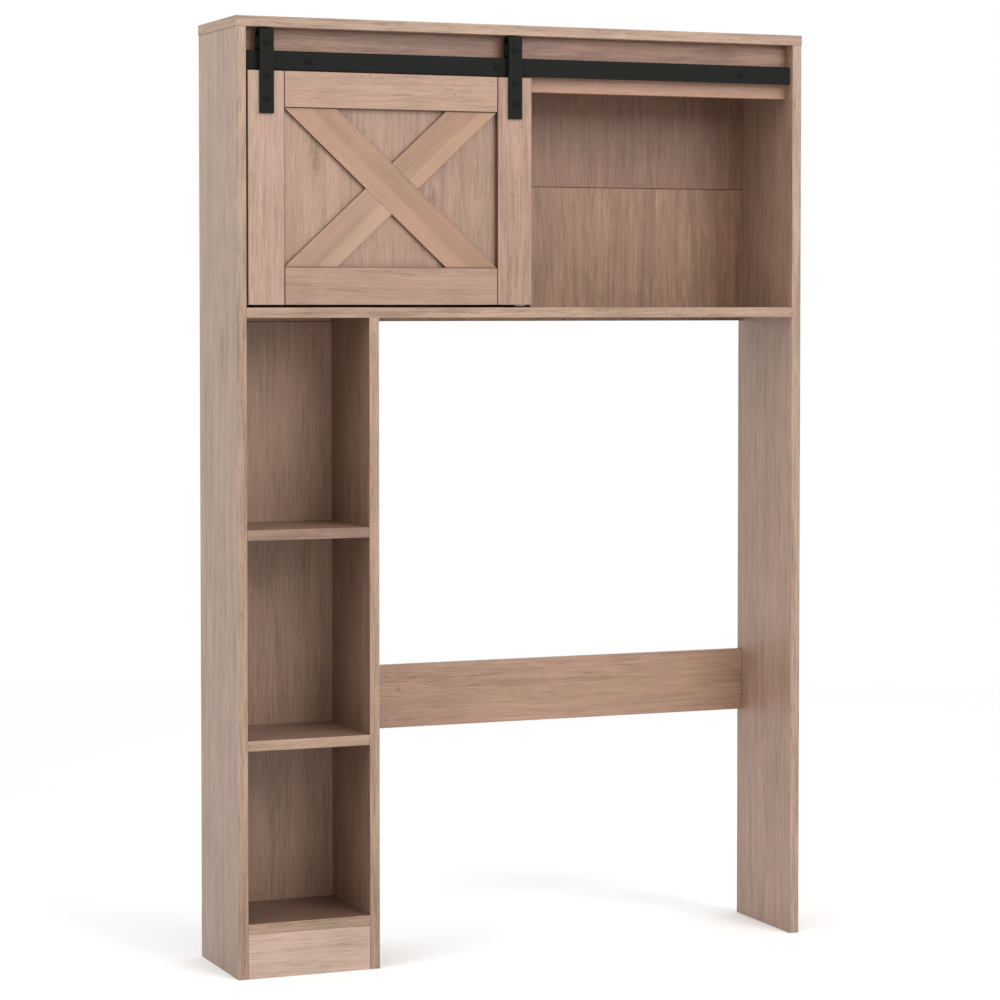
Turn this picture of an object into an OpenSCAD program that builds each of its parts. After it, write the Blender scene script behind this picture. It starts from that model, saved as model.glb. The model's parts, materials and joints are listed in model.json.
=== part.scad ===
// Over-the-toilet storage unit: a narrow shelf column on the left, a full-width cabinet
// across the top with one sliding barn door, and an open bay for the toilet below it.
// All sizes are in millimetres. The origin is on the floor under the middle of the unit,
// X runs left to right, Y from the front to the wall and Z up.

/* [Carcass] */
// Width across the outer faces of the two side panels
body_w = 1080; // [1040:1:1160]
// Depth of the side panels, from front edge to wall edge
body_d = 218; // [200:1:260]
// Height of the top board's upper face above the floor
body_h = 1650; // [1600:1:1750]
// Thickness of every carcass board
board_t = 18; // [16:1:19]
// How far the top board stands out past each side panel
top_overhang = 1; // [0.5:0.5:3]
// Clear width of the shelf column
column_w = 222; // [190:1:260]
// Height of the kick board under the column
kick_h = 77; // [60:1:100]
// Height of the lower column shelf's underside
lower_shelf_z = 393; // [300:1:440]
// Height of the upper column shelf's underside
upper_shelf_z = 755; // [660:1:820]
// Height of the cabinet floor's underside
cabinet_z = 1136; // [1100:1:1160]
// Height of the stretcher's lower edge
stretcher_z = 392; // [250:1:600]
// Height of the stretcher board
stretcher_h = 114; // [80:1:150]
// Height of the header board that carries the rail
header_h = 97; // [90:1:104]
// How far the header board is set back from the front
header_setback = 27; // [27:1:32]

/* [Back panels] */
// Thickness of the back panels
back_t = 3; // [2.5:0.5:4]
// How far the back panels are set in from the wall edge
back_recess = 15.5; // [10:0.5:18]
// How far a back panel hangs below the board it is screwed to
back_drop = 7; // [4:1:10]
// Height of the seam between the two cabinet backs
back_seam_z = 1375; // [1300:1:1450]

/* [Sliding door] */
// Width of the door
door_w = 523.5; // [515:0.5:530]
// Thickness of the door's frame
door_t = 18; // [18:1:20]
// Gap between the closed door and the side panel
door_side_gap = 3.5; // [2:0.5:5]
// Gap between the door and the cabinet floor
door_floor_gap = 4.5; // [4.5:0.5:6]
// Width of the two stiles
stile_w = 65; // [55:1:75]
// Height of the top rail of the door
top_rail_h = 62; // [58:1:70]
// Height of the bottom rail of the door
bottom_rail_h = 65; // [58:1:75]
// How far the door's centre panel lies behind the frame's face
panel_recess = 11; // [10:0.5:12]
// Width of the X battens
batten_w = 65; // [45:1:75]
// Thickness of the X battens
batten_t = 7; // [5:0.5:9]

/* [Rail and hangers] */
// Height of the flat rail
rail_h = 32; // [30:1:34]
// Thickness of the flat rail
rail_t = 5; // [4:0.5:6]
// From the top board's underside down to the rail's lower edge
rail_drop = 71.5; // [70:0.5:74]
// Width of the hanger straps
strap_w = 25; // [22:1:30]
// Thickness of the hanger straps
strap_t = 4.5; // [3:0.5:4.5]
// How far a strap reaches down over the door
strap_lap = 73; // [66:1:90]
// Radius of the roller where it runs on the rail
tread_r = 13.5; // [12:0.5:13.5]
// Diameter of the round bolt heads
head_d = 13; // [11:0.5:14]

/* [Hidden] */

$fn = 48;
WOOD = [0.71, 0.60, 0.53];
WOOD_SHADE = [0.64, 0.53, 0.46];
BLACK = [0.16, 0.16, 0.165];
STEEL = [0.70, 0.71, 0.72];
DOWEL_WOOD = [0.86, 0.74, 0.56];

// Directions, used for every joint
RIGHT = [1, 0, 0];
LEFT = [-1, 0, 0];
REAR = [0, 1, 0];
FRONT = [0, -1, 0];
UP = [0, 0, 1];
DOWN = [0, 0, -1];

// Small clearances between parts
fit = 0.1;
slack = 0.2;
rolling_gap = 0.3;

// Carcass heights and positions, measured from the left front corner on the floor
side_h = body_h - board_t;
inner_right = body_w - board_t;
partition_x = board_t + column_w;
bay_x = partition_x + board_t;
cabinet_floor_top = cabinet_z + board_t;
bottom_shelf_z = kick_h;
shelf_d = body_d - back_recess - back_t;
header_z = side_h - header_h;
header_back = header_setback + board_t;
divider_x = body_w / 2 - board_t / 2;
stretcher_y = body_d - board_t;

// Back panel grooves
groove_depth = 6;
groove_w = back_t + 2 * fit;
groove_y = shelf_d - fit;
column_back_z = bottom_shelf_z - back_drop;
cabinet_back_z = cabinet_z - back_drop;

// Hidden joinery
dowel_d = 8;
dowel_l = 30;
dowel_in_face = 10;
cam_d = 15;
cam_h = 12.5;
cam_reach = 34;
cam_turn = 20;
cam_bolt_d = 7;
cam_bolt_in_face = 11;
screw_d = 6.5;
screw_l = 50;
screw_head_d = 10;
screw_head_h = 3.5;
back_screw_d = 3;
back_screw_l = 16;
small_head_h = 1.6;
board_dowel_y = [66, 130];
board_cam_y = [36, 166];
panel_dowel_y = [18, 118];
panel_cam_y = [72, 166];
divider_screw_y = [90, 166];

// Back panel screws: heights on the divider, and shares of the width on floor and shelves
divider_screw_z = [1250, 1500];
floor_screw_x = [0.09, 0.31, 0.63, 0.91];
shelf_screw_x = [0.2, 0.8];

// Door, hanging in front of the header and just under the rail
rail_z = side_h - rail_drop;
rail_top = rail_z + rail_h;
rail_front = 7;
rail_back = rail_front + rail_t;
rail_end_gap = 3.3;
rail_l = body_w - 2 * (board_t + rail_end_gap);
rail_mid_z = rail_z + rail_h / 2;
rail_clearance = 2.5;
door_x = board_t + door_side_gap;
door_z = cabinet_floor_top + door_floor_gap;
door_top = rail_z - rail_clearance;
door_h = door_top - door_z;
door_travel = body_w - 2 * door_x - door_w;
opening_w = door_w - 2 * stile_w;
opening_h = door_h - top_rail_h - bottom_rail_h;
opening_x = door_x + stile_w;
opening_z = door_z + bottom_rail_h;
panel_t = 4;
panel_edge = 8;
panel_groove = panel_edge + 0.5;
door_dowel_d = 6;
door_dowel_l = 28;
door_dowel_edge = 20;

// The X: each batten's edge meets the corners of the opening
batten_angle = atan2(opening_h, opening_w) + asin(batten_w / norm([opening_w, opening_h]));
batten_cut = batten_w / sin(batten_angle);
batten_slope = tan(batten_angle);

// Groove under the door, and the fin that runs in it
guide_groove_w = 5;
guide_groove_h = 9;
guide_fin = [8.4, 3, 11.5];
guide_base = [31, 14, 2.5];
guide_base_right = 4.2;
guide_screw_x = [-21, -10.5];
guide_screw_d = 3;
guide_screw_in = 12;
guide_x = door_x + (door_w + door_travel) / 2;
guide_y = door_t / 2;

// Rail bolts and the bolt heads that show
rail_bolt_x = [132, 482, 958];
bolt_d = 6;
head_h = 3;
head_rim = 1;
head_taper = 0.62;
hex_key = 4;
spacer_d = 12;
insert_d = 9;
insert_l = 14;

// Hangers: a strap bent over the rail, with a grooved roller inside the bend
hanger_gap = 17;
hanger_top = side_h - 2;
hanger_bottom = door_top - strap_lap;
rear_leg_z = rail_top - 4;
bend_r = 6;
flange_r = tread_r + 2;
roller_w = 12;
roller_hole = [9, 2.4];
hub_r = 6;
dish_depth = 1.2;
edge_chamfer = 0.8;
running_fit = 0.06;
axle_z = rail_top + tread_r + rolling_gap;
axle_y = rail_front + rail_t / 2;
roller_front = axle_y - roller_w / 2;
roller_rear = axle_y + roller_w / 2;
axle_nut_h = 4;
axle_nut_w = 10;
axle_sleeve_d = 10;
hanger_x = [door_x + stile_w / 2, door_x + door_w - stile_w / 2];
strap_bolt_drop = [8.5, 46.5];
strap_bolt_short = 3;
strap_nut_d = 13;
strap_nut_flange = 1.6;
strap_nut_barrel_d = 8;
strap_nut_barrel_l = 10;

// Brackets that tie the top board to the wall
bracket_x = [200, 880];
bracket_w = 30;
bracket_leg = 24;
bracket_rise = 16;
bracket_t = 2;
bracket_hole_d = 5;
bracket_hole_z = 9.5;
bracket_screw_y = 14;
bracket_screw_d = 4;
bracket_screw_l = 11;
bracket_head_h = 2.2;

// The bounding box runs from the bolt heads on the hangers to the wall edges
front_proud = strap_t + head_h;
front_y = front_proud - (body_d + front_proud) / 2;

// Moves parts from the left front corner of the carcass to the part's origin
module placed() translate([-body_w / 2, front_y, 0]) children();

// Turn that takes +Z to one of the six directions
function turn_to(v) =
    v.x != 0 ? [0, 90 * v.x, 0] :
    v.y != 0 ? [-90 * v.y, 0, 0] :
    [v.z < 0 ? 180 : 0, 0, 0];

// A joint is a point on the meeting faces, the direction into the end-drilled board and
// the side that its cam lock opens to
function span_joints(x_left, x_right, places, side) = [
    for (end = [[x_left, RIGHT], [x_right, LEFT]], p = places)
        [[end[0], p[0], p[1]], end[1], side]
];
function deep_places(ys, z) = [for (y = ys) [y, z + board_t / 2]];

column_shelves = [bottom_shelf_z, lower_shelf_z, upper_shelf_z];

// Upright boards between two panels: left end, right end, middle in depth, foot and height
strips = [
    [board_t, partition_x, board_t / 2, 0, kick_h],
    [bay_x, inner_right, stretcher_y + board_t / 2, stretcher_z, stretcher_h],
    [board_t, inner_right, header_setback + board_t / 2, header_z, header_h]
];
function strip_joints(shares) = [
    for (s = strips)
        each span_joints(s[0], s[1], [for (share = shares) [s[2], s[3] + s[4] * share]], REAR)
];
function shelf_joints(ys) = [
    for (z = column_shelves)
        each span_joints(board_t, partition_x, deep_places(ys, z), DOWN)
];

dowel_joints = concat(
    shelf_joints(board_dowel_y),
    span_joints(board_t, inner_right, deep_places(board_dowel_y, cabinet_z), DOWN),
    strip_joints([0.2, 0.8]),
    [for (x = [0, inner_right], y = panel_dowel_y) [[x + board_t / 2, y, side_h], DOWN, RIGHT]],
    [for (y = board_dowel_y) [[partition_x + board_t / 2, y, cabinet_z], DOWN, RIGHT]],
    [for (y = board_dowel_y) [[body_w / 2, y, side_h], DOWN, LEFT]]
);
cam_joints = concat(
    shelf_joints(board_cam_y),
    span_joints(board_t, inner_right, deep_places(board_cam_y, cabinet_z), DOWN),
    strip_joints([0.5]),
    [for (y = panel_cam_y) [[board_t / 2, y, side_h], DOWN, RIGHT]],
    [for (y = panel_cam_y) [[inner_right + board_t / 2, y, side_h], DOWN, LEFT]]
);
screw_joints = concat(
    [for (y = board_cam_y) [[partition_x + board_t / 2, y, cabinet_z], DOWN]],
    [for (y = divider_screw_y) [[body_w / 2, y, cabinet_floor_top], UP]]
);
back_screw_joints = concat(
    [for (x = floor_screw_x) [[body_w * x, shelf_d, cabinet_z + board_t / 2], FRONT]],
    [for (z = divider_screw_z) [[body_w / 2, shelf_d, z], FRONT]],
    [for (z = column_shelves, x = shelf_screw_x)
        [[board_t + column_w * x, shelf_d, z + board_t / 2], FRONT]]
);

function gap_to(p, lo, hi) = min([for (i = [0:2]) min(p[i] - lo[i], hi[i] - p[i])]);
function joints_on(list, lo, hi) = [for (j = list) if (gap_to(j[0], lo, hi) > -slack) j];

module at_joint(j) translate(j[0]) rotate(turn_to(j[1])) children();

// Fasteners of the joints, each along +Z from the meeting faces
module dowel(extra) {
    r = dowel_d / 2 + extra;
    translate([0, 0, -dowel_in_face - extra]) cylinder(r = r, h = dowel_l + 2 * extra);
}

module cam_bolt_hole() {
    depth = cam_bolt_in_face + fit;
    translate([0, 0, -depth]) cylinder(d = cam_bolt_d + 2 * fit, h = depth + cam_reach + 4);
}

module cam_bolt() {
    translate([0, 0, -cam_bolt_in_face]) cylinder(d = cam_bolt_d, h = cam_bolt_in_face);
    cylinder(d = cam_bolt_d - 2, h = cam_reach);
    translate([0, 0, cam_reach - 3]) cylinder(d = cam_bolt_d, h = 6);
}

module cam_place(j) {
    inset = board_t / 2 - cam_h;
    translate(j[0] + j[1] * cam_reach + j[2] * inset) rotate(turn_to(j[2]))
        rotate([0, 0, cam_turn]) children();
}

module cam_pocket(j) {
    cam_place(j) translate([0, 0, -fit]) cylinder(d = cam_d + 2 * fit, h = cam_h + 1);
}

module cam_lock(j) {
    slot = [cam_d * 0.6, 1.6, 3];
    difference() {
        cam_place(j) cylinder(d = cam_d, h = cam_h);
        at_joint(j) cam_bolt_hole();
        cam_place(j) for (a = [0, 90])
            translate([0, 0, cam_h]) rotate([0, 0, a]) cube(slot, center = true);
    }
}

// Countersunk screw whose head lies flush, one board before the meeting faces
module long_screw(extra) {
    translate([0, 0, -board_t]) {
        cylinder(d1 = screw_head_d + 2 * extra, d2 = screw_d + 2 * extra, h = screw_head_h);
        cylinder(d = screw_d + 2 * extra, h = screw_l + extra);
    }
}

module back_screw(extra) {
    translate([0, 0, -back_t]) {
        cylinder(
            d1 = 2 * (back_screw_d + extra), d2 = back_screw_d + 2 * extra, h = small_head_h
        );
        cylinder(d = back_screw_d + 2 * extra, h = back_screw_l + extra);
    }
}

// Cross for a screwdriver, cut into a screw head whose face is at z = 0
module cross_recess(head_d) {
    depth = 0.2 * head_d;
    for (a = [0, 90]) rotate([0, 0, a]) translate([0, 0, (1 - depth) / 2])
        cube([0.5 * head_d, 0.14 * head_d, 1 + depth], center = true);
}

// A board between two corners, drilled for every joint that lies on it; children are cut away too
module board(lo, hi, tone = WOOD) {
    color(tone) placed() difference() {
        translate(lo) cube(hi - lo);
        for (j = joints_on(dowel_joints, lo, hi)) at_joint(j) dowel(fit);
        for (j = joints_on(cam_joints, lo, hi)) {
            at_joint(j) cam_bolt_hole();
            cam_pocket(j);
        }
        for (j = joints_on(screw_joints, lo, hi)) at_joint(j) long_screw(fit);
        for (j = joints_on(back_screw_joints, lo, hi)) at_joint(j) back_screw(fit);
        children();
    }
}

// Groove that holds the edge of a back panel
module back_groove(x_lo, x_hi, z_lo, z_hi) {
    translate([x_lo, groove_y, z_lo]) cube([x_hi - x_lo, groove_w, z_hi - z_lo]);
}

module left_side_panel() {
    board([0, 0, 0], [board_t, body_d, side_h])
        back_groove(board_t - groove_depth - fit, board_t + 1, column_back_z - fit, side_h + 1);
}

module right_side_panel() {
    board([inner_right, 0, 0], [body_w, body_d, side_h])
        back_groove(
            inner_right - 1, inner_right + groove_depth + fit, cabinet_back_z - fit, side_h + 1
        );
}

module top_board() {
    board([-top_overhang, 0, side_h], [body_w + top_overhang, body_d, body_h]) {
        back_groove(
            board_t - groove_depth - fit, inner_right + groove_depth + fit,
            side_h - 1, side_h + groove_depth + fit
        );
        for (x = bracket_x) bracket_screw_place(x)
            translate([0, 0, -bracket_screw_l - fit])
                cylinder(d = bracket_screw_d + 2 * fit, h = bracket_screw_l + 1);
    }
}

module cabinet_floor() {
    board([board_t, 0, cabinet_z], [inner_right, shelf_d, cabinet_floor_top])
        for (x = guide_screw_x)
            translate([guide_x + x, guide_y, cabinet_floor_top - guide_screw_in])
                cylinder(d = guide_screw_d + 2 * fit, h = guide_screw_in + 1);
}

module column_partition() {
    board([partition_x, 0, 0], [bay_x, body_d, cabinet_z]) {
        back_groove(
            partition_x - 1, partition_x + groove_depth + fit, column_back_z - fit, cabinet_z + 1
        );
        back_groove(partition_x - 1, bay_x + 1, cabinet_back_z - fit, cabinet_z + 1);
    }
}

module cabinet_divider() {
    board([divider_x, header_back, cabinet_floor_top], [divider_x + board_t, shelf_d, side_h]);
}

module header_board() {
    board([board_t, header_setback, header_z], [inner_right, header_back, side_h])
        for (x = rail_bolt_x) rail_bolt_place(x)
            translate([0, 0, header_setback - rail_front - 1])
                cylinder(d = insert_d + 2 * fit, h = insert_l + 2);
}

module column_shelf(z) board([board_t, 0, z], [partition_x, shelf_d, z + board_t]);
module upper_column_shelf() column_shelf(upper_shelf_z);
module lower_column_shelf() column_shelf(lower_shelf_z);
module bottom_column_shelf() column_shelf(bottom_shelf_z);

module kick_board() {
    board([board_t, 0, 0], [partition_x, board_t, kick_h]);
}

module rear_stretcher() {
    top = stretcher_z + stretcher_h;
    board([bay_x, stretcher_y, stretcher_z], [inner_right, body_d, top]);
}

module back_sheet(x_left, x_right, z_lo, z_hi) {
    low = [x_left - groove_depth, shelf_d, z_lo];
    high = [x_right + groove_depth, shelf_d + back_t, z_hi];
    board(low, high, WOOD_SHADE);
}
module upper_cabinet_back() {
    back_sheet(board_t, inner_right, back_seam_z, side_h + groove_depth);
}
module lower_cabinet_back() back_sheet(board_t, inner_right, cabinet_back_z, back_seam_z);
module column_back() back_sheet(board_t, partition_x, column_back_z, cabinet_back_z);

// Door frame: stiles run full height, rails sit between them, all grooved for the panel
module panel_slot(x, z, w, h) {
    translate([x, panel_recess - fit, z]) cube([w, panel_t + 2 * fit, h]);
}

module guide_slot() {
    translate([door_x - 1, guide_y - guide_groove_w / 2, door_z - 1])
        cube([door_w + 2, guide_groove_w, guide_groove_h + 1]);
}

// Dowels that lock each door rail between the stiles
module door_dowel_set(extra) {
    rails = [[door_z, opening_z], [door_top - top_rail_h, door_top]];
    for (x = [opening_x, opening_x + opening_w], rail = rails)
        for (z = [rail[0] + door_dowel_edge, rail[1] - door_dowel_edge])
            translate([x, guide_y, z]) rotate(turn_to(RIGHT))
                cylinder(d = door_dowel_d + 2 * extra, h = door_dowel_l + 2 * extra, center = true);
}

module strap_bolt_place(x, drop) {
    translate([x, 0, door_top - drop]) rotate(turn_to(REAR)) children();
}

module strap_nut_hole() {
    translate([0, 0, -1]) cylinder(d = bolt_d + 2 * fit, h = door_t + 2);
    translate([0, 0, door_t - strap_nut_barrel_l - fit])
        cylinder(d = strap_nut_barrel_d + 2 * fit, h = strap_nut_barrel_l + 1);
}

module door_stile(x, slot_x, bolt_x) {
    color(WOOD) placed() difference() {
        translate([x, 0, door_z]) cube([stile_w, door_t, door_h]);
        panel_slot(
            slot_x, opening_z - panel_groove, panel_groove + 1, opening_h + 2 * panel_groove
        );
        guide_slot();
        door_dowel_set(fit);
        for (drop = strap_bolt_drop) strap_bolt_place(bolt_x, drop) strap_nut_hole();
    }
}
module door_left_stile() {
    door_stile(door_x, opening_x - panel_groove, hanger_x[0]);
}
module door_right_stile() {
    door_stile(opening_x + opening_w, opening_x + opening_w - 1, hanger_x[1]);
}

module door_rail(z, h, slot_z) {
    color(WOOD) placed() difference() {
        translate([opening_x, 0, z]) cube([opening_w, door_t, h]);
        panel_slot(opening_x - 1, slot_z, opening_w + 2, panel_groove + 1);
        guide_slot();
        door_dowel_set(fit);
    }
}
module door_top_rail() {
    door_rail(door_top - top_rail_h, top_rail_h, door_top - top_rail_h - 1);
}
module door_bottom_rail() {
    door_rail(door_z, bottom_rail_h, opening_z - panel_groove);
}

module door_dowels() {
    color(DOWEL_WOOD) placed() door_dowel_set(0);
}

module door_panel() {
    color(WOOD_SHADE) placed()
        translate([opening_x - panel_edge, panel_recess, opening_z - panel_edge])
            cube([opening_w + 2 * panel_edge, panel_t, opening_h + 2 * panel_edge]);
}

// A batten glued on the panel, drawn as an outline across the door's opening
module batten(outline) {
    color(WOOD) placed() translate([opening_x, panel_recess, opening_z]) rotate(turn_to(FRONT))
        linear_extrude(batten_t) polygon([for (p = outline) [p.x, p.y]]);
}

half_batten = [
    [0, 0],
    [batten_cut, 0],
    [opening_w / 2, opening_h - batten_slope * opening_w / 2],
    [(opening_w - batten_cut) / 2, opening_h / 2]
];
module long_batten() {
    batten([[0, opening_h], [opening_w - batten_cut, 0], [opening_w, 0], [batten_cut, opening_h]]);
}
module lower_half_batten() batten(half_batten);
module upper_half_batten() batten([for (p = half_batten) [opening_w, opening_h] - p]);

// Round-headed bolt with a hexagon socket; the head is below the shaft's foot at z = 0
module button_bolt(shaft_l) {
    difference() {
        union() {
            cylinder(d = bolt_d, h = shaft_l);
            translate([0, 0, -head_rim]) cylinder(d = head_d, h = head_rim);
            translate([0, 0, -head_h])
                cylinder(d1 = head_d * head_taper, d2 = head_d, h = head_h - head_rim);
        }
        translate([0, 0, -head_h - 1]) cylinder(d = hex_key / cos(30), h = head_h, $fn = 6);
    }
}

module sleeve(outer_d, inner_d, length) {
    difference() {
        cylinder(d = outer_d, h = length);
        translate([0, 0, -1]) cylinder(d = inner_d, h = length + 2);
    }
}

module rail_bolt_place(x) {
    translate([x, rail_front, rail_mid_z]) rotate(turn_to(REAR)) children();
}

module sliding_rail() {
    color(BLACK) placed() difference() {
        translate([board_t + rail_end_gap, rail_front, rail_z]) cube([rail_l, rail_t, rail_h]);
        for (x = rail_bolt_x) rail_bolt_place(x)
            translate([0, 0, -1]) cylinder(d = bolt_d + 2 * fit, h = rail_t + 2);
    }
}

module rail_spacers() {
    color(BLACK) placed() for (x = rail_bolt_x) rail_bolt_place(x)
        translate([0, 0, rail_t]) sleeve(spacer_d, bolt_d + 2 * fit, header_setback - rail_back);
}

module rail_bolts() {
    color(BLACK) placed() for (x = rail_bolt_x) rail_bolt_place(x)
        button_bolt(header_setback - rail_front + insert_l - 1);
}

module rail_inserts() {
    color(STEEL) placed() for (x = rail_bolt_x) rail_bolt_place(x)
        translate([0, 0, header_setback - rail_front]) sleeve(insert_d, bolt_d + 2 * fit, insert_l);
}

// Side outline of a hanger: long front leg, rounded bend over the rail, short rear leg
module hanger_outline() {
    inner_r = bend_r - strap_t;
    depth = hanger_gap + 2 * strap_t;
    for (leg = [[0, hanger_bottom], [depth - strap_t, rear_leg_z]])
        translate(leg) square([strap_t, hanger_top - bend_r - leg.y]);
    translate([bend_r, hanger_top - strap_t]) square([depth - 2 * bend_r, strap_t]);
    for (corner = [[bend_r, -1], [depth - bend_r, 1]])
        translate([corner[0], hanger_top - bend_r]) intersection() {
            difference() {
                circle(bend_r);
                circle(inner_r);
            }
            translate([corner[1] < 0 ? -bend_r : 0, 0]) square(bend_r);
        }
}

module axle_place(x) {
    translate([x, 0, axle_z]) rotate(turn_to(REAR)) children();
}

module hanger(x) {
    color(BLACK) placed() difference() {
        translate([x - strap_w / 2, -strap_t, 0]) rotate([90, 0, 90])
            linear_extrude(strap_w) hanger_outline();
        axle_place(x) translate([0, 0, -strap_t - 1])
            cylinder(d = bolt_d + 2 * fit, h = hanger_gap + 2 * strap_t + 2);
        for (drop = strap_bolt_drop) strap_bolt_place(x, drop)
            translate([0, 0, -strap_t - 1]) cylinder(d = bolt_d + 2 * fit, h = strap_t + 2);
    }
}
module left_hanger() hanger(hanger_x[0]);
module right_hanger() hanger(hanger_x[1]);

// Half section of a roller, radius against width, from the front face to the groove's edge
function roller_side() = [
    [bolt_d / 2 + running_fit, 0],
    [hub_r, 0],
    [hub_r, dish_depth],
    [flange_r - 3, dish_depth],
    [flange_r - 3, 0],
    [flange_r - edge_chamfer, 0],
    [flange_r, edge_chamfer],
    [flange_r, (roller_w - rail_t) / 2 - 2 * rolling_gap],
    [tread_r, (roller_w - rail_t) / 2 - rolling_gap]
];

// Grooved roller on its axle, with a dish and a ring of holes in both faces
module roller(x) {
    side = roller_side();
    far_side = [for (i = [len(side) - 1:-1:0]) [side[i].x, roller_w - side[i].y]];
    color(BLACK) placed() axle_place(x) translate([0, 0, roller_front]) difference() {
        rotate_extrude() polygon(concat(side, far_side));
        for (a = [0:60:300]) rotate([0, 0, a]) translate([roller_hole[0], 0, -1])
            cylinder(d = roller_hole[1], h = roller_w + 2);
    }
}
module left_roller() roller(hanger_x[0]);
module right_roller() roller(hanger_x[1]);

module axle_bolts() {
    color(BLACK) placed() for (x = hanger_x) axle_place(x)
        translate([0, 0, -strap_t]) button_bolt(hanger_gap + 2 * strap_t + axle_nut_h);
}

module axle_spacers() {
    color(BLACK) placed() for (x = hanger_x) axle_place(x)
        sleeve(axle_sleeve_d, bolt_d + 2 * fit, roller_front - slack);
}

module axle_washers() {
    color(STEEL) placed() for (x = hanger_x) axle_place(x)
        translate([0, 0, roller_rear + slack])
            sleeve(axle_sleeve_d, bolt_d + 2 * fit, hanger_gap - roller_rear - slack);
}

module axle_nuts() {
    color(STEEL) placed() for (x = hanger_x) axle_place(x) translate([0, 0, hanger_gap + strap_t])
        difference() {
            cylinder(d = axle_nut_w / cos(30), h = axle_nut_h, $fn = 6);
            translate([0, 0, -1]) cylinder(d = bolt_d + 2 * fit, h = axle_nut_h + 2);
        }
}

module strap_bolts() {
    color(BLACK) placed() for (x = hanger_x, drop = strap_bolt_drop) strap_bolt_place(x, drop)
        translate([0, 0, -strap_t]) button_bolt(strap_t + door_t - strap_bolt_short);
}

module strap_nuts() {
    barrel_z = door_t - strap_nut_barrel_l;
    color(STEEL) placed() for (x = hanger_x, drop = strap_bolt_drop) strap_bolt_place(x, drop)
        difference() {
            union() {
                translate([0, 0, barrel_z])
                    cylinder(d = strap_nut_barrel_d, h = strap_nut_barrel_l);
                translate([0, 0, door_t]) cylinder(d = strap_nut_d, h = strap_nut_flange);
            }
            translate([0, 0, barrel_z - 1])
                cylinder(d = bolt_d + 2 * fit, h = strap_nut_barrel_l - strap_bolt_short + 2);
        }
}

// Low nylon guide on the cabinet floor; its fin stays in the door's groove over the whole
// travel, and the closed door covers all of it
module door_guide() {
    color(BLACK) placed() translate([guide_x, guide_y, cabinet_floor_top]) difference() {
        union() {
            translate([guide_base_right - guide_base.x, -guide_base.y / 2, 0]) cube(guide_base);
            translate([-guide_fin.x / 2, -guide_fin.y / 2, 0]) cube(guide_fin);
        }
        for (x = guide_screw_x) translate([x, 0, 0]) guide_screw(fit);
    }
}

// Countersunk screw from the top of the guide's base down into the floor
module guide_screw(extra) {
    shaft_l = guide_screw_in - 1 + guide_base.z;
    translate([0, 0, guide_base.z]) mirror([0, 0, 1]) {
        cylinder(
            d1 = 2 * (guide_screw_d + extra), d2 = guide_screw_d + 2 * extra, h = small_head_h
        );
        cylinder(d = guide_screw_d + 2 * extra, h = shaft_l);
    }
}

module guide_screws() {
    color(STEEL) placed() for (x = guide_screw_x)
        translate([guide_x + x, guide_y, cabinet_floor_top]) difference() {
            guide_screw(0);
            translate([0, 0, guide_base.z]) cross_recess(2 * guide_screw_d);
        }
}

module wood_dowels() {
    color(DOWEL_WOOD) placed() for (j = dowel_joints) at_joint(j) dowel(0);
}

module cam_bolts() {
    color(STEEL) placed() for (j = cam_joints) at_joint(j) cam_bolt();
}

module cam_locks() {
    color(STEEL) placed() for (j = cam_joints) cam_lock(j);
}

module cabinet_screws() {
    color(STEEL) placed() for (j = screw_joints) at_joint(j) difference() {
        long_screw(0);
        translate([0, 0, -board_t - 1]) cylinder(d = hex_key / cos(30), h = screw_head_h, $fn = 6);
    }
}

module back_panel_screws() {
    color(STEEL) placed() for (j = back_screw_joints) at_joint(j) difference() {
        back_screw(0);
        translate([0, 0, -back_t]) mirror([0, 0, 1]) cross_recess(2 * back_screw_d);
    }
}

module bracket_screw_place(x) {
    translate([x, body_d - bracket_screw_y, body_h]) children();
}

// Angle brackets on the top board, with a hole each for a wall screw
module wall_brackets() {
    color(STEEL) placed() for (x = bracket_x) translate([x, body_d, body_h]) difference() {
        union() for (leg = [[bracket_leg, bracket_t], [bracket_t, bracket_rise]])
            translate([-bracket_w / 2, -leg[0], 0]) cube([bracket_w, leg[0], leg[1]]);
        translate([0, -bracket_screw_y, -1])
            cylinder(d = bracket_screw_d + 2 * fit, h = bracket_t + 2);
        translate([0, -bracket_t - 1, bracket_hole_z]) rotate(turn_to(REAR))
            cylinder(d = bracket_hole_d, h = bracket_t + 2);
    }
}

module bracket_screws() {
    color(STEEL) placed() for (x = bracket_x) bracket_screw_place(x) difference() {
        union() {
            translate([0, 0, -bracket_screw_l])
                cylinder(d = bracket_screw_d, h = bracket_screw_l + bracket_t);
            translate([0, 0, bracket_t])
                cylinder(d1 = 2 * bracket_screw_d, d2 = 1.4 * bracket_screw_d, h = bracket_head_h);
        }
        translate([0, 0, bracket_t + bracket_head_h]) cross_recess(1.6 * bracket_screw_d);
    }
}

left_side_panel();
right_side_panel();
top_board();
cabinet_floor();
column_partition();
cabinet_divider();
header_board();
upper_column_shelf();
lower_column_shelf();
bottom_column_shelf();
kick_board();
rear_stretcher();
upper_cabinet_back();
lower_cabinet_back();
column_back();
door_left_stile();
door_right_stile();
door_top_rail();
door_bottom_rail();
door_panel();
long_batten();
upper_half_batten();
lower_half_batten();
door_dowels();
sliding_rail();
rail_spacers();
rail_bolts();
rail_inserts();
left_hanger();
right_hanger();
left_roller();
right_roller();
axle_bolts();
axle_spacers();
axle_washers();
axle_nuts();
strap_bolts();
strap_nuts();
door_guide();
guide_screws();
wood_dowels();
cam_bolts();
cam_locks();
cabinet_screws();
back_panel_screws();
wall_brackets();
bracket_screws();
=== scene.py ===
import json
import math

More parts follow.
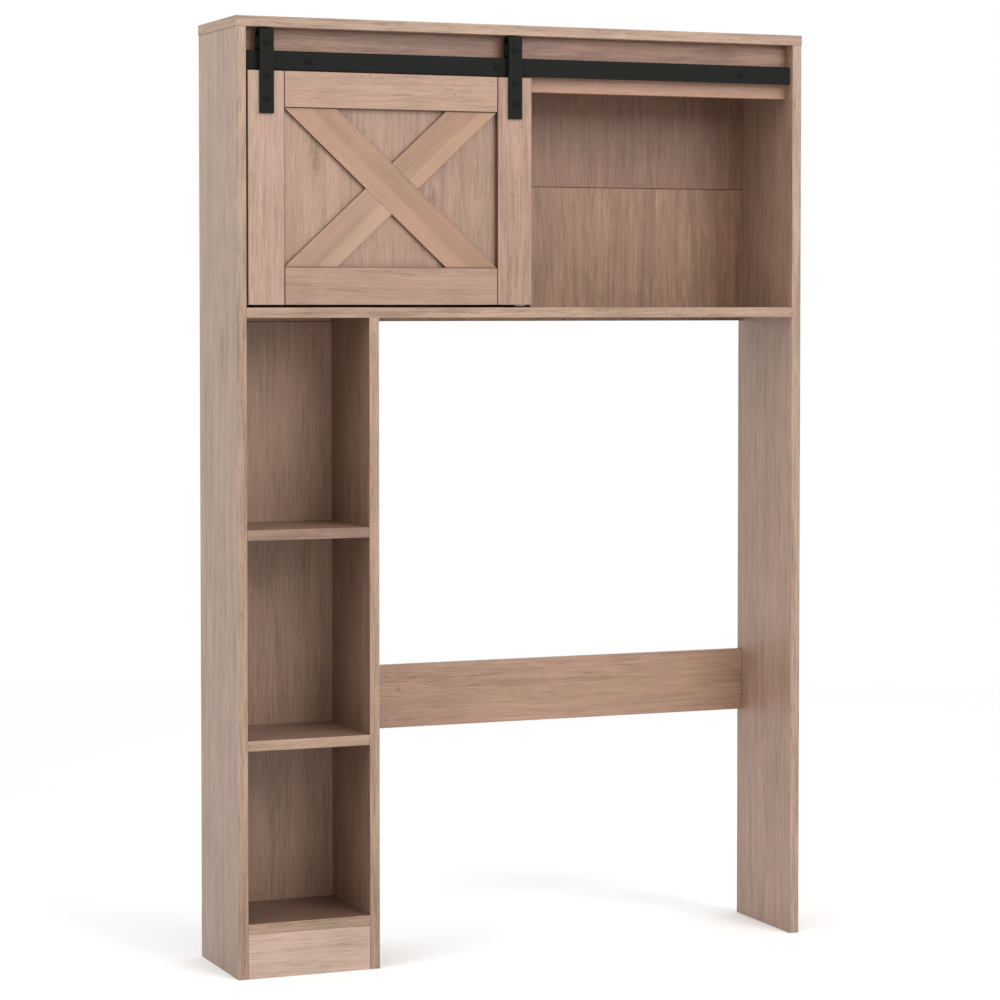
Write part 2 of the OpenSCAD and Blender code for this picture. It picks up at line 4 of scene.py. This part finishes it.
import bmesh
import bpy
from mathutils import Euler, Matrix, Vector


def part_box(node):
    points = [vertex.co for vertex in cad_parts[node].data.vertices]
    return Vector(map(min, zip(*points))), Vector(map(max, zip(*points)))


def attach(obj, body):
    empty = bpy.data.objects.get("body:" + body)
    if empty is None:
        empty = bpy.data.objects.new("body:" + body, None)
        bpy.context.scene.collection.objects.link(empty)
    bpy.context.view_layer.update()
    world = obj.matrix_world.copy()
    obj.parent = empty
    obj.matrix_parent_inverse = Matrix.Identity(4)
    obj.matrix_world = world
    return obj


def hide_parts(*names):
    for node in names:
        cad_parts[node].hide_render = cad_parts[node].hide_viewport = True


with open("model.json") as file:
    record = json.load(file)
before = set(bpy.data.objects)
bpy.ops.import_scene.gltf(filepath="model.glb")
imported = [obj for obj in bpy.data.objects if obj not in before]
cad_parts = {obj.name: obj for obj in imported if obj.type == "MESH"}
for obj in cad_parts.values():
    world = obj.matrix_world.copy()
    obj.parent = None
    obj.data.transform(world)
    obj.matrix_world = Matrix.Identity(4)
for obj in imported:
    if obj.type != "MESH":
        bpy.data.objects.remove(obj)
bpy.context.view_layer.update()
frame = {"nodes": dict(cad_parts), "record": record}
NODES = frame["nodes"]
BODIES = frame["record"]["behaviour"]["bodies"]
BODY = {node: body for body, nodes in BODIES.items() for node in nodes}
MM = 0.001
X, Y, Z = Vector((1, 0, 0)), Vector((0, 1, 0)), Vector((0, 0, 1))
AXES = (X, Y, Z)
WIDTH, DEPTH, HEIGHT = range(3)  # the places of the axes in AXES and in a point


# ---------------------------------------------------------------- material nodes


class Graph:
    """A material's node tree, with one method for each kind of node that is used."""

    def __init__(self, name):
        self.material = bpy.data.materials.new(name)
        self.material.use_nodes = True
        self.tree = self.material.node_tree
        self.tree.nodes.clear()

    def node(self, kind, inputs=(), **settings):
        """A node of a kind. Its inputs are values or outputs of other nodes, by name or number."""
        made = self.tree.nodes.new("ShaderNode" + kind)
        for key, value in settings.items():
            setattr(made, key, value)
        for key, value in dict(inputs).items():
            if isinstance(value, bpy.types.NodeSocket):
                self.tree.links.new(value, made.inputs[key])
            else:
                made.inputs[key].default_value = value
        return made

    def math(self, operation, *values):
        return self.node("Math", enumerate(values), operation=operation).outputs[0]

    def along(self, direction, offset=0.0):
        """Place on the object along a direction, in metres, plus an offset."""
        position = self.node("TexCoord").outputs["Object"]
        dot = self.node("VectorMath", {0: position, 1: tuple(direction)}, operation="DOT_PRODUCT")
        return self.math("ADD", dot.outputs["Value"], offset)

    def vector(self, x, y, z):
        return self.node("CombineXYZ", {0: x, 1: y, 2: z}).outputs[0]

    def scaled_place(self, scale):
        """Place on the object, as a vector times a scale."""
        position = self.node("TexCoord").outputs["Object"]
        return self.node("VectorMath", {0: position, 3: scale}, operation="SCALE").outputs[0]

    def noise(self, place, detail=2.0, roughness=0.5, distortion=0.0):
        """Noise with one repeat for each unit of place."""
        inputs = {
            "Vector": place, "Scale": 1.0, "Detail": detail, "Roughness": roughness,
            "Distortion": distortion,
        }
        return self.node("TexNoise", inputs).outputs["Fac"]

    def remap(self, value, low, high, to_low=0.0, to_high=1.0):
        """The value carried from one range to another, and held inside it."""
        inputs = {
            "Value": value, "From Min": low, "From Max": high, "To Min": to_low, "To Max": to_high,
        }
        return self.node("MapRange", inputs).outputs["Result"]

    def ramp(self, value, stops):
        """A colour ramp with stops of place and colour."""
        made = self.node("ValToRGB", {"Fac": value})
        elements = made.color_ramp.elements
        while len(elements) < len(stops):
            elements.new(0.5)
        for element, (at, colour) in zip(elements, stops):
            element.position = at
            element.color = (*colour, 1.0)
        return made.outputs["Color"]

    def mix(self, factor, first, second):
        """A blend from the first colour output to the second."""
        made = self.node("Mix", data_type="RGBA")
        for key, value in (("Factor_Float", factor), ("A_Color", first), ("B_Color", second)):
            socket = next(s for s in made.inputs if s.identifier == key)
            self.tree.links.new(value, socket)
        return next(s for s in made.outputs if s.identifier == "Result_Color")

    def bump(self, height, distance, strength):
        inputs = {"Height": height, "Distance": distance, "Strength": strength}
        return self.node("Bump", inputs).outputs[0]

    def finish(self, **inputs):
        """Adds the shader, whose inputs are given by their names with _ for a space."""
        named = {key.replace("_", " "): value for key, value in inputs.items()}
        shader = self.node("BsdfPrincipled", named)
        output = self.node("OutputMaterial")
        self.tree.links.new(shader.outputs["BSDF"], output.inputs["Surface"])
        return self.material


def linear(red, green, blue):
    """A colour from its 0 to 255 display values."""

    def channel(c):
        c /= 255
        return c / 12.92 if c <= 0.04045 else ((c + 0.055) / 1.055) ** 2.4

    return tuple(channel(c) for c in (red, green, blue))


# ---------------------------------------------------------------- wood

LIT = 0.62  # share of a board's full-light colour that is its own reflectance

# Tints of the darkest and lightest streaks, and the two hues that a board drifts between.
DARKEST = (0.58, 0.52, 0.47)
LIGHTEST = (1.32, 1.35, 1.38)
ROSY = (1.025, 0.965, 0.99)
SANDY = (0.98, 1.0, 0.945)

# How often each layer of the figure repeats in a metre, along the grain and across it.
SWAY = (2.4, 8.0)
DRIFT = (4.0, 14.0)
PATCHES = (12.0, 19.0)
BROAD_BANDS = (3.5, 56.0)
BANDS = (7.0, 180.0)
FIBRES = (26.0, 560.0)
PORES = (50.0, 950.0)
PALE_STREAKS = (7.0, 220.0)
BUSY_AREAS = (5.0, 26.0)
FLAME = (1.4, 10.0)
RING_AREAS = (1.9, 9.0)
TICK_AREAS = (9.0, 22.0)
TICKS = (330.0, 130.0)

# A noise is between these values over most of a board, or over its middle part.
MOST = (0.28, 0.72)
MIDDLE = (0.3, 0.7)

SEED_STEP = (1.37, 0.71, 0.43)  # metres that one seed moves a board within the noise
RING_TURN = 90.0  # radians that the ring lines' sine turns over the whole range of the flame
SWAY_REACH = 5 * MM  # how far the grain sways to each side
KNOT_LENGTH = 2.5  # how many times as long along the grain as across it a knot is
KNOT_REACH = 3.0  # how far out a knot bends the grain, in sizes
KNOT_BEND = 0.8  # how strongly it bends the grain at its middle
KNOT_TURN = 7.0  # radians that the sine of a knot's rings turns over one size


def tinted(colour, tint):
    return tuple(c * t for c, t in zip(colour, tint))


def scaled(colour, factor):
    return tuple(c * factor for c in colour)


def grain_noise(g, u, v, w):
    """Gives a function that makes noise drawn out along the grain, from places on the board."""

    def streaks(repeats, detail, roughness=0.55, distortion=0.0):
        along, across = repeats
        place = g.vector(
            g.math("MULTIPLY", u, along), g.math("MULTIPLY", v, across), g.math("MULTIPLY", w, across)
        )
        return g.noise(place, detail, roughness, distortion)

    return streaks


def bent_round_knots(g, v, grain, across, knots):
    """The place across the grain, bent round each knot, and the shades of the knots."""
    shades = []
    for at_u, at_v, size in knots:
        knot_u = g.math("MULTIPLY", g.along(grain, -at_u), 1.0 / (KNOT_LENGTH * size))
        knot_v = g.math("MULTIPLY", g.along(across, -at_v), 1.0 / size)
        place = g.vector(knot_u, knot_v, 0.0)
        far = g.node("VectorMath", {0: place}, operation="LENGTH").outputs["Value"]
        pull = g.remap(far, 0.0, KNOT_REACH, KNOT_BEND * size, 0.0)
        v = g.math("SUBTRACT", v, g.math("MULTIPLY", knot_v, pull))
        ring = g.math("ABSOLUTE", g.math("SINE", g.math("MULTIPLY", far, KNOT_TURN)))
        core_shade = g.remap(far, 0.3, 1.1, -0.22, 0.0)
        ring_shade = g.math("MULTIPLY", ring, g.remap(far, 0.4, 2.4, -0.16, 0.0))
        shades += [core_shade, ring_shade]
    return v, shades


def ring_lines(g, streaks):
    """1 on the dark lines of the flame figure, in some areas of the board."""
    flame = g.math("MULTIPLY", streaks(FLAME, 1.5, 0.4, 0.5), RING_TURN)
    line = g.remap(g.math("ABSOLUTE", g.math("SINE", flame)), 0.0, 0.45, 1.0, 0.0)
    return g.math("MULTIPLY", line, g.remap(streaks(RING_AREAS, 1.0), 0.46, 0.62))


def cross_ticks(g, streaks):
    """1 on the short ticks across the grain, in some areas of the board."""
    area = g.remap(streaks(TICK_AREAS, 1.0), 0.58, 0.66)
    tick = g.remap(streaks(TICKS, 1.0), 0.60, 0.70)
    return g.math("MULTIPLY", tick, area)


def wood(
    name, grain, across, seed, colour, figure=1.0, fine=0.58, pore=0.26, rings=0.0, ticks=0.0,
    lightness_band=None, knots=(),
):
    """Oak laminate: long fibres along the grain, growth bands, pores and slow colour drift.

    figure, fine, pore, rings and ticks are the strengths of the bands, the fibres, the pores, the
    ring lines and the cross ticks. A lightness band is a direction, a place along it, a reach and
    an amount of light; it carries the painted light and shade of the battens and of most boards
    that take one. A knot is its place along the grain, its place across it and its size.
    """
    g = Graph(name)
    u, v, w = (
        g.along(direction, seed * step)
        for direction, step in zip((grain, across, grain.cross(across)), SEED_STEP)
    )
    sway_noise = grain_noise(g, u, v, w)(SWAY, 2.0)
    sway = g.remap(sway_noise, *MIDDLE, -SWAY_REACH, SWAY_REACH)
    v, knot_shades = bent_round_knots(g, g.math("ADD", v, sway), grain, across, knots)
    streaks = grain_noise(g, u, v, w)

    drift = streaks(DRIFT, 2.0)
    patches = streaks(PATCHES, 2.0)
    broad = streaks(BROAD_BANDS, 2.0, 0.6)
    bands = streaks(BANDS, 4.0, 0.65, 0.15)
    fibres = streaks(FIBRES, 4.0, 0.68, 0.1)
    pores = g.remap(streaks(PORES, 1.0), 0.60, 0.72)
    busy = g.remap(streaks(BUSY_AREAS, 1.0), 0.35, 0.65, 0.7, 1.3)

    band_shade = g.remap(bands, *MOST, -0.23 * figure, 0.23 * figure)
    fibre_shade = g.remap(fibres, *MOST, -0.5 * fine, 0.5 * fine)
    added = [
        g.remap(broad, *MOST, -0.20 * figure, 0.20 * figure),
        g.remap(patches, *MIDDLE, -0.09, 0.05),
        g.remap(streaks(PALE_STREAKS, 1.0), 0.60, 0.72, 0.0, 0.16),
        g.math("MULTIPLY", pores, -pore),
        *knot_shades,
    ]
    if rings:
        added.append(g.math("MULTIPLY", ring_lines(g, streaks), -rings))
    if ticks:
        added.append(g.math("MULTIPLY", cross_ticks(g, streaks), -ticks))
    # Lighter on one side of a place along a direction, darker on the other: the painted light and
    # shade of the battens and of most boards that take a gradient.
    if lightness_band:
        direction, place, reach, amount = lightness_band
        added.append(g.remap(g.along(direction, -place), -reach, reach, -amount, amount))
    shade = g.math("MULTIPLY", g.math("ADD", band_shade, fibre_shade), busy)
    for part in added:
        shade = g.math("ADD", shade, part)
    level = g.math("ADD", shade, 0.5)

    base = scaled(linear(*colour), LIT)

    def toned(tint):
        own = tinted(base, tint)
        return g.ramp(level, ((0.0, tinted(own, DARKEST)), (0.5, own), (1.0, tinted(own, LIGHTEST))))

    hue = g.math("ADD", g.math("MULTIPLY", drift, 0.5), g.math("MULTIPLY", patches, 0.5))
    shown = g.mix(g.remap(hue, 0.38, 0.62), toned(SANDY), toned(ROSY))
    relief = g.math("ADD", g.math("MULTIPLY", fibres, 0.6), g.math("MULTIPLY", pores, -0.5))
    rough = g.remap(bands, *MIDDLE, 0.50, 0.42)
    return g.finish(
        Base_Color=shown, Roughness=rough, Normal=g.bump(relief, 0.12 * MM, 0.5), IOR=1.55,
    )


COAT_CLOUDS, ZINC_CLOUDS = 14.0, 45.0  # repeats in a metre


def painted(name, colour, roughness, per_metre, spread, bump_mm, specular):
    """Powder coat or moulded plastic: fine orange peel over a nearly even colour."""
    g = Graph(name)
    speck = g.noise(g.scaled_place(per_metre))
    cloud = g.noise(g.scaled_place(COAT_CLOUDS))
    shade = g.math("ADD", g.math("MULTIPLY", speck, 0.5), g.math("MULTIPLY", cloud, 0.5))
    colour = g.ramp(shade, ((0.3, scaled(colour, 1 - spread)), (0.7, scaled(colour, 1 + spread))))
    rough = g.remap(cloud, *MIDDLE, roughness - 0.04, roughness + 0.04)
    return g.finish(
        Base_Color=colour, Roughness=rough, Normal=g.bump(speck, bump_mm * MM, 0.4),
        Specular_IOR_Level=specular,
    )


def metal(name, colour, roughness):
    """Zinc plate with a slight cloudiness."""
    g = Graph(name)
    cloud = g.noise(g.scaled_place(ZINC_CLOUDS), 3.0)
    tint = g.ramp(cloud, ((0.3, scaled(colour, 0.93)), (0.7, colour)))
    rough = g.remap(cloud, *MIDDLE, roughness - 0.03, roughness + 0.03)
    return g.finish(Base_Color=tint, Roughness=rough, Metallic=1.0)


# ---------------------------------------------------------------- pieces from the frame


SAME_PLACE = 0.002 * MM  # points nearer than this are one point
LEVEL = 0.001 * MM  # an edge is level when its ends differ by less
ON_PLANE = 0.01 * MM
ON_BOX = 0.02 * MM
BIG_FACE = 50 * MM * MM  # a face of more than this area is a flat face of the object
FLAT_ANGLE = math.radians(0.5)  # faces that meet at less are one face
SMOOTH_ANGLE = math.radians(50)  # an edge is shaded as sharp from here on
WOOD_CORNER, HARDWARE_CORNER = 0.5, 0.7  # an edge is eased from this angle on, in radians
MOSTLY = 0.71  # a face mostly looks along an axis when this much of its normal does
PARTLY = 0.3  # and partly looks along it when this much does
# The DARK slot holds the dark brown: dark joints, and painted shade on faces in recesses.
FACE, EDGE, END, DARK = range(4)  # a board's material slots
EDGE_SEED, END_SEED, DARK_SEED = 3.1, 5.3, 7.7  # added to a board's own seed
# SPLIT_LIGHT is painted light: one half of each batten's face is lighter.
SPLIT_REACH, SPLIT_LIGHT = 3 * MM, 0.11  # of the lighter part of a batten
BATTEN_EASE = 0.6 * MM


def cleaned(node):
    """A new mesh of the CAD node's shape, with each flat face in one piece and round walls smooth."""
    source = NODES[node].data
    bm = bmesh.new()
    corners = [bm.verts.new(vertex.co) for vertex in source.vertices]
    for polygon in source.polygons:
        bm.faces.new([corners[index] for index in polygon.vertices])
    bmesh.ops.remove_doubles(bm, verts=bm.verts, dist=SAME_PLACE)
    bmesh.ops.dissolve_limit(bm, angle_limit=FLAT_ANGLE, verts=bm.verts, edges=bm.edges)
    bmesh.ops.recalc_face_normals(bm, faces=bm.faces)
    big_faces = [face for face in bm.faces if face.calc_area() > BIG_FACE]
    planes = [(face.normal.copy(), face.calc_center_median()) for face in big_faces]
    for face in bm.faces:
        face.smooth = not any(
            all(abs((v.co - centre).dot(normal)) < ON_PLANE for v in face.verts)
            for normal, centre in planes
        )
    return bm


def on_outline(edge, low, high):
    """True for an edge that lies along one of the twelve edges of the box."""
    shared = 0
    for axis in range(3):
        a, b = (v.co[axis] for v in edge.verts)
        if abs(a - b) < LEVEL and min(abs(a - low[axis]), abs(a - high[axis])) < ON_BOX:
            shared += 1
    return shared >= 2


def rounded(bm, edges, width):
    """Eases the edges, and gives back the new faces."""
    made = bmesh.ops.bevel(
        bm, geom=edges, offset=width, offset_type="OFFSET", segments=2, profile=0.5,
        affect="EDGES", clamp_overlap=True,
    )
    for face in made["faces"]:
        face.smooth = True
    return made["faces"]


def add_piece(name, bm, node, materials):
    """Makes the object from the mesh and puts it in the CAD node's place."""
    for edge in bm.edges:
        edge.smooth = edge.calc_face_angle(0) < SMOOTH_ANGLE
    mesh = bpy.data.meshes.new(name)
    bm.to_mesh(mesh)
    bm.free()
    for material in materials:
        mesh.materials.append(material)
    piece = bpy.data.objects.new(name, mesh)
    bpy.context.scene.collection.objects.link(piece)
    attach(piece, BODY[node])
    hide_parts(node)


def board(
    node, long_axis, thin_axis, seed, colour, strip=None, ease=0.7, shaded_joints=False, dark=(), lightness_gradient=None,
    **look,
):
    """A laminated board: the grain runs along it, and its edge strips have grain of their own.

    strip is the colour of the edge strips where it differs. ease is the width of the eased edges,
    in millimetres. The faces towards a dark direction take a dark brown, and so do all eased edges
    when the joints are shaded: dark joints, and painted shade in recesses and grooves. A lightness
    gradient lightens the board along a direction, over a reach on each side of its middle and by an
    amount; on most boards that take one it is painted light and shade.
    """
    low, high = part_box(node)
    bm = cleaned(node)
    # The gradient becomes a band of lightness about the board's middle; the calls below say what
    # light or shade it paints.
    if lightness_gradient:
        direction, reach, amount = lightness_gradient
        places = [v.co.dot(direction) for v in bm.verts]
        look["lightness_band"] = (direction, (min(places) + max(places)) / 2, reach, amount)
    eased = rounded(bm, [e for e in bm.edges if on_outline(e, low, high)], ease * MM)
    wide_axis = 3 - long_axis - thin_axis
    for face in bm.faces:
        # Faces towards a dark direction take the dark brown: painted shade in the door's recess, and
        # dark joints at the rails' ends.
        if any(face.normal.dot(direction) > PARTLY for direction in dark):
            face.material_index = DARK
        elif abs(face.normal[thin_axis]) > MOSTLY:
            face.material_index = FACE
        elif abs(face.normal[long_axis]) > MOSTLY:
            face.material_index = END
        else:
            face.material_index = EDGE
    # Every eased edge takes the dark brown here: dark joint lines, with painted shade in their
    # grooves.
    if shaded_joints:
        for face in eased:
            face.material_index = DARK
    strip = strip or colour
    along, wide = AXES[long_axis], AXES[wide_axis]
    materials = [
        wood(node + ".face", along, wide, seed, colour, **look),
        wood(node + ".edge", along, wide, seed + EDGE_SEED, strip, figure=1.2, pore=0.5),
        wood(node + ".end", wide, along, seed + END_SEED, strip, figure=1.2),
    ]
    # The dark brown material, for dark joints and painted shade.
    if shaded_joints or dark:
        materials.append(wood(node + ".seam", along, wide, seed + DARK_SEED, SHADE_AND_JOINT_BROWN, figure=0.5))
    add_piece(node + "_board", bm, node, materials)


def batten(node, seed, colour, light_side, split, **look):
    """A diagonal batten, a little lighter beyond a split line along it.

    split is the line's place across the batten, from 0 to 1 towards the light side. The lighter
    part is painted light, standing in for the side of the face that catches the light.
    """
    bm = cleaned(node)
    edges = sorted(bm.edges, key=lambda e: -e.calc_length())
    grain = (edges[0].verts[1].co - edges[0].verts[0].co).normalized()
    across = Y.cross(grain)
    if across.dot(light_side) < 0:
        across = -across

    def runs_along(edge):
        return abs((edge.verts[1].co - edge.verts[0].co).normalized().dot(grain)) > 0.99

    places = [e.verts[0].co.dot(across) for e in edges if runs_along(e)]
    middle = min(places) + split * (max(places) - min(places))
    # Painted light on the batten's lighter half.
    lightness_band = (across, middle, SPLIT_REACH, SPLIT_LIGHT)
    rounded(bm, [e for e in bm.edges if e.calc_face_angle(0) > WOOD_CORNER], BATTEN_EASE)
    for face in bm.faces:
        face.material_index = FACE if abs(face.normal.y) > MOSTLY else EDGE
    # The batten's sides take the dark brown: painted shade on faces turned from the light.
    materials = (
        wood(node + ".face", grain, across, seed, colour, lightness_band=lightness_band, **look),
        wood(node + ".edge", grain, Y, seed + EDGE_SEED, SHADE_AND_JOINT_BROWN, figure=0.5),
    )
    add_piece(node + "_strip", bm, node, materials)


def hardware(node, material, width):
    """Metal or plastic: every corner is eased, by a width in millimetres."""
    bm = cleaned(node)
    rounded(bm, [e for e in bm.edges if e.calc_face_angle(0) > HARDWARE_CORNER], width * MM)
    add_piece(node + "_part", bm, node, (material,))


# ---------------------------------------------------------------- carcass and door

# The wood tones, as 0 to 255 display values in full light. The tones of the column partition and
# shelves, the upper back and the header are darker copies that hold painted shade, deepest on the
# bottom column shelf; the kick board's tone is a lighter copy that holds painted light from the
# floor.
FLOOR_LIT_PALE_OAK = (208, 180, 162)
ROSE_OAK = (186, 152, 132)
GREY_OAK = (178, 150, 130)
SAND_OAK = (178, 147, 123)
PLAIN_OAK = (181, 144, 120)
TAN_OAK = (174, 138, 116)
HONEY_OAK = (175, 134, 105)
SHADED_UMBER_OAK = (156, 123, 104)
SHADED_COPPER_OAK = (165, 122, 98)
SHADED_RUSSET_OAK = (160, 118, 93)
SHADED_DARK_OAK = (130, 98, 82)
# Dark brown for dark joints, and painted shade on faces in recesses and turned from the light.
SHADE_AND_JOINT_BROWN = (96, 62, 44)
BEECH = (222, 186, 146)

# Each board's name is followed by the axis that it runs along, the axis that it is thin along,
# and its seed.
# The left side's gradient is painted light: lighter at the top, darker at the bottom.
board(
    "left_side_panel", HEIGHT, WIDTH, 1.0, GREY_OAK, strip=SAND_OAK, figure=0.8,
    lightness_gradient=(Z, 700 * MM, 0.08), knots=((1089 * MM, -22 * MM, 16 * MM),),
)
board("right_side_panel", HEIGHT, WIDTH, 2.0, ROSE_OAK, strip=GREY_OAK, figure=0.8)
# The partition's face tone is a darker copy: painted shade inside the column.
board("column_partition", HEIGHT, WIDTH, 3.0, SHADED_UMBER_OAK, strip=SAND_OAK)
board("cabinet_divider", HEIGHT, WIDTH, 4.0, GREY_OAK)
board("top_board", WIDTH, HEIGHT, 5.0, GREY_OAK, strip=SAND_OAK, rings=0.1)
board("cabinet_floor", WIDTH, HEIGHT, 6.0, GREY_OAK, strip=SAND_OAK)
# The column shelves' tones are darker copies: painted shade, deepest on the bottom shelf.
board("upper_column_shelf", WIDTH, HEIGHT, 7.0, SHADED_UMBER_OAK)
board("lower_column_shelf", WIDTH, HEIGHT, 8.0, SHADED_UMBER_OAK, strip=SAND_OAK)
board("bottom_column_shelf", WIDTH, HEIGHT, 9.0, SHADED_DARK_OAK, strip=SAND_OAK)
# The header's gradient is a painted shadow of the top board, darker towards its top.
# The header's tone is a darker copy: painted shade under the top board.
board(
    "header_board", WIDTH, DEPTH, 10.0, SHADED_COPPER_OAK, rings=0.16, ticks=0.4,
    lightness_gradient=(-Z, 30 * MM, 0.26), knots=((400 * MM, 1614 * MM, 12 * MM),),
)
# The kick board's tone is a lighter copy: painted light from the floor.
board("kick_board", WIDTH, DEPTH, 11.0, FLOOR_LIT_PALE_OAK, figure=0.5, fine=0.4)
board("rear_stretcher", WIDTH, DEPTH, 12.0, PLAIN_OAK, figure=0.75, fine=0.5, rings=0.45)

# The backs' eased edges take the dark brown: dark joint lines, with painted shade in their grooves.
BACK = dict(ease=0.8, shaded_joints=True, rings=0.08)
# Painted shade on the cabinet backs: darker towards the right.
BACK_SHADE_TO_RIGHT = (-X, 450 * MM, 0.3)
# The upper back's tone is a darker copy: painted shade under the header.
board("upper_cabinet_back", HEIGHT, DEPTH, 13.0, SHADED_RUSSET_OAK, figure=0.7, lightness_gradient=BACK_SHADE_TO_RIGHT, **BACK)
board("lower_cabinet_back", HEIGHT, DEPTH, 14.0, HONEY_OAK, lightness_gradient=BACK_SHADE_TO_RIGHT, **BACK)
# The column back's gradient is painted light: lighter at the top, darker at the bottom.
board(
    "column_back", HEIGHT, DEPTH, 15.0, PLAIN_OAK, figure=0.8, fine=0.45,
    lightness_gradient=(Z, 500 * MM, 0.1), **BACK,
)

DOOR_EASE = 1.1  # in millimetres
# Door faces towards their dark directions take the dark brown: painted shade on the faces turned into
# the panel's recess, and dark joints at the rails' ends.
board("door_left_stile", HEIGHT, DEPTH, 17.0, ROSE_OAK, ease=DOOR_EASE, dark=(X,), figure=0.6)
board("door_right_stile", HEIGHT, DEPTH, 18.0, TAN_OAK, ease=DOOR_EASE, dark=(-X,), ticks=0.3)
board(
    "door_top_rail", WIDTH, DEPTH, 19.0, PLAIN_OAK, ease=DOOR_EASE, dark=(-Z, X, -X),
    figure=0.5, fine=0.5, ticks=0.5,
)
board(
    "door_bottom_rail", WIDTH, DEPTH, 20.0, TAN_OAK, ease=DOOR_EASE, dark=(Z, X, -X),
    figure=0.7, fine=0.5, ticks=0.5,
)
board(
    "door_panel", HEIGHT, DEPTH, 21.0, TAN_OAK, ease=0.4, figure=0.8, ticks=0.2,
    lightness_gradient=(-X, 120 * MM, 0.11),
    knots=((1405 * MM, -392 * MM, 9 * MM), (1347 * MM, -178 * MM, 9 * MM)),
)

DOWN_LEFT, DOWN_RIGHT = Vector((-1, 0, -1)), Vector((1, 0, -1))
FAINT = dict(figure=0.3, fine=0.22, pore=0.1)
batten("long_batten", 22.0, HONEY_OAK, DOWN_LEFT, 0.54, **FAINT)
batten("upper_half_batten", 23.0, HONEY_OAK, DOWN_RIGHT, 0.65, **FAINT)
batten("lower_half_batten", 24.0, PLAIN_OAK, DOWN_RIGHT, 0.65, **FAINT)

# ---------------------------------------------------------------- hardware

black = painted(
    "black_powder_coat", (0.0088, 0.0088, 0.0082), roughness=0.5, per_metre=1500.0, spread=0.12,
    bump_mm=0.03, specular=0.06,
)
nylon = painted(
    "black_nylon", (0.008, 0.008, 0.008), roughness=0.45, per_metre=900.0, spread=0.1,
    bump_mm=0.02, specular=0.08,
)
zinc = metal("zinc_plate", (0.52, 0.53, 0.55), roughness=0.34)
beech = wood("beech_dowel", X, Y, 31.0, BEECH, figure=0.5)

for node in ("sliding_rail", "left_hanger", "right_hanger"):
    hardware(node, black, 0.5)
for node in ("rail_bolts", "axle_bolts", "strap_bolts", "rail_spacers", "axle_spacers"):
    hardware(node, black, 0.25)
for node in ("left_roller", "right_roller", "door_guide"):
    hardware(node, nylon, 0.25)
for node in (
    "axle_washers", "axle_nuts", "strap_nuts", "wall_brackets", "guide_screws",
    "back_panel_screws", "bracket_screws",
):
    hardware(node, zinc, 0.2)
for material, nodes in (
    (zinc, ("rail_inserts", "cam_bolts", "cam_locks", "cabinet_screws")),
    (beech, ("wood_dowels", "door_dowels")),
):
    for node in nodes:
        NODES[node].data.materials.clear()
        NODES[node].data.materials.append(material)

# ---------------------------------------------------------------- floor, light and camera

FLOOR_RADIUS = 6.0
FLOOR_FADE = (1.6, 4.5)  # the floor is whole up to the first radius and gone at the second
FLOOR_DARKER, FLOOR_LIGHTER = (0.86, 0.86, 0.858), (0.875, 0.875, 0.872)


def studio_floor():
    """A pale disc that fades out into the white surroundings."""
    bm = bmesh.new()
    bmesh.ops.create_circle(bm, cap_ends=True, segments=96, radius=FLOOR_RADIUS)
    mesh = bpy.data.meshes.new("studio_floor")
    bm.to_mesh(mesh)
    bm.free()
    floor = bpy.data.objects.new("studio_floor", mesh)
    bpy.context.scene.collection.objects.link(floor)
    g = Graph("studio_floor")
    position = g.node("TexCoord").outputs["Object"]
    radius = g.node("VectorMath", {0: position}, operation="LENGTH").outputs["Value"]
    presence = g.remap(radius, *FLOOR_FADE, 1.0, 0.0)
    mottle = g.noise(g.scaled_place(3.0))
    colour = g.ramp(mottle, ((0.3, FLOOR_DARKER), (0.7, FLOOR_LIGHTER)))
    shader = g.node("BsdfPrincipled", {"Base Color": colour, "Roughness": 0.85})
    clear = g.node("BsdfTransparent")
    mixed = g.node("MixShader", {0: presence, 1: clear.outputs[0], 2: shader.outputs[0]})
    output = g.node("OutputMaterial")
    g.tree.links.new(mixed.outputs[0], output.inputs["Surface"])
    mesh.materials.append(g.material)


def area_light(name, place, aim, width, watts):
    """A square light that faces the aim."""
    data = bpy.data.lights.new(name, "AREA")
    data.shape = "RECTANGLE"
    data.size = data.size_y = width
    data.energy = watts
    light = bpy.data.objects.new(name, data)
    light.location = place
    light.rotation_euler = (Vector(aim) - Vector(place)).to_track_quat("-Z", "Y").to_euler()
    bpy.context.scene.collection.objects.link(light)


studio_floor()
world = bpy.data.worlds.new("studio_white")
world.use_nodes = True
world.node_tree.nodes["Background"].inputs["Color"].default_value = (1.0, 1.0, 1.0, 1)
world.node_tree.nodes["Background"].inputs["Strength"].default_value = 1.0
bpy.context.scene.world = world
area_light("key_light", place=(1.2, -3.5, 3.1), aim=(0, 0, 0.9), width=2.4, watts=112.0)
area_light("left_light", place=(-2.6, -0.8, 3.4), aim=(-0.5, 0, 1.0), width=2.0, watts=46.0)
bpy.context.scene.view_settings.view_transform = "Standard"

CAMERA_PLACE = (-2.1336, -5.1775, 1.1595)
CAMERA_DOWN = math.radians(2.13)
CAMERA_RIGHT = math.radians(22.278)  # how far the camera turns to the right of the depth axis

camera_data = bpy.data.cameras.new("camera")
camera_data.lens = 111.995
camera_data.sensor_width = 36.0
camera_data.shift_y = -0.08
camera = bpy.data.objects.new("camera", camera_data)
camera.location = CAMERA_PLACE
camera.rotation_euler = Euler((math.pi / 2 - CAMERA_DOWN, 0, -CAMERA_RIGHT))
bpy.context.scene.collection.objects.link(camera)
bpy.context.scene.camera = camera
